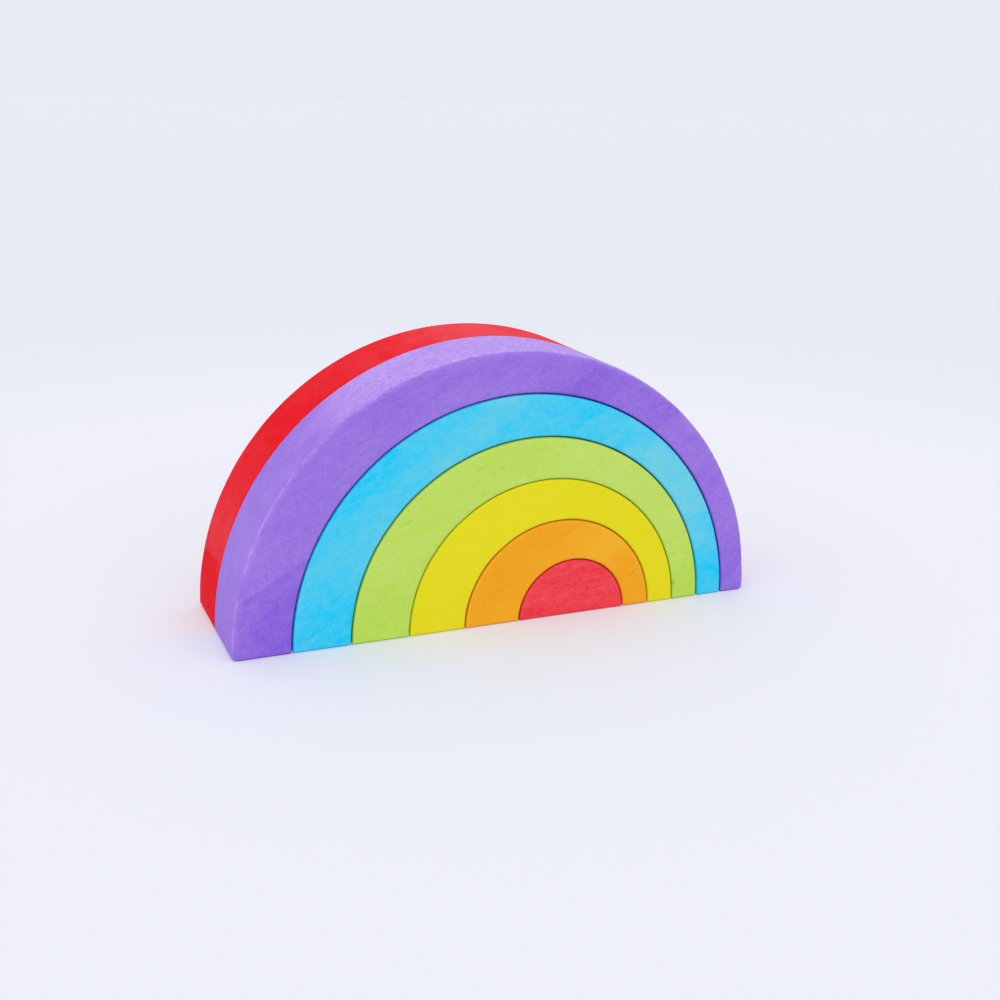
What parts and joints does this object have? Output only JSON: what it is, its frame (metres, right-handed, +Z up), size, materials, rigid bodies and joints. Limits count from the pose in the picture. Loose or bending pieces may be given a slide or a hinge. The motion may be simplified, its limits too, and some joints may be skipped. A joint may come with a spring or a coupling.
{
  "type": "rainbow stacker",
  "caption": "Nested wooden arches around a half-round core, one nest right behind another; stained in rainbow colours, each piece loose, for nesting, lining up and stacking.",
  "frame": {"origin": "on the floor, midway between the two nests, under the middle of the outer arches", "axes": "+X along the width towards the thin legs, +Y from the front nest to the rear one, +Z up"},
  "size_m": [0.25, 0.0704, 0.125],
  "materials": {
    "purple_stain": "matte",
    "blue_stain": "matte",
    "green_stain": "matte",
    "yellow_stain": "matte",
    "orange_stain": "matte",
    "red_stain": "matte"
  },
  "bodies": {
    "rear_red_arch": {"rear_red_arch": "red_stain"},
    "rear_orange_arch": {"rear_orange_arch": "orange_stain"},
    "rear_yellow_arch": {"rear_yellow_arch": "yellow_stain"},
    "rear_green_arch": {"rear_green_arch": "green_stain"},
    "rear_blue_arch": {"rear_blue_arch": "blue_stain"},
    "rear_purple_core": {"rear_purple_core": "purple_stain"},
    "front_purple_arch": {"front_purple_arch": "purple_stain"},
    "front_blue_arch": {"front_blue_arch": "blue_stain"},
    "front_green_arch": {"front_green_arch": "green_stain"},
    "front_yellow_arch": {"front_yellow_arch": "yellow_stain"},
    "front_orange_arch": {"front_orange_arch": "orange_stain"},
    "front_red_core": {"front_red_core": "red_stain"}
  },
  "joints": [
    {"name": "front_purple_slide", "type": "slide", "parent": "rear_red_arch", "child": "front_purple_arch", "axis": [0, -1, 0], "range_m": [0, 0.045]},
    {"name": "front_blue_slide", "type": "slide", "parent": "rear_red_arch", "child": "front_blue_arch", "axis": [0, -1, 0], "range_m": [0, 0.045]},
    {"name": "front_green_slide", "type": "slide", "parent": "rear_red_arch", "child": "front_green_arch", "axis": [0, -1, 0], "range_m": [0, 0.045]},
    {"name": "front_yellow_slide", "type": "slide", "parent": "rear_red_arch", "child": "front_yellow_arch", "axis": [0, -1, 0], "range_m": [0, 0.045]},
    {"name": "front_orange_slide", "type": "slide", "parent": "rear_red_arch", "child": "front_orange_arch", "axis": [0, -1, 0], "range_m": [0, 0.045]},
    {"name": "front_red_slide", "type": "slide", "parent": "rear_red_arch", "child": "front_red_core", "axis": [0, -1, 0], "range_m": [0, 0.045]},
    {"name": "rear_orange_slide", "type": "slide", "parent": "rear_red_arch", "child": "rear_orange_arch", "axis": [0, 1, 0], "range_m": [0, 0.045]},
    {"name": "rear_yellow_slide", "type": "slide", "parent": "rear_red_arch", "child": "rear_yellow_arch", "axis": [0, 1, 0], "range_m": [0, 0.045]},
    {"name": "rear_green_slide", "type": "slide", "parent": "rear_red_arch", "child": "rear_green_arch", "axis": [0, 1, 0], "range_m": [0, 0.045]},
    {"name": "rear_blue_slide", "type": "slide", "parent": "rear_red_arch", "child": "rear_blue_arch", "axis": [0, 1, 0], "range_m": [0, 0.045]},
    {"name": "rear_purple_slide", "type": "slide", "parent": "rear_red_arch", "child": "rear_purple_core", "axis": [0, 1, 0], "range_m": [0, 0.045]}
  ]
}
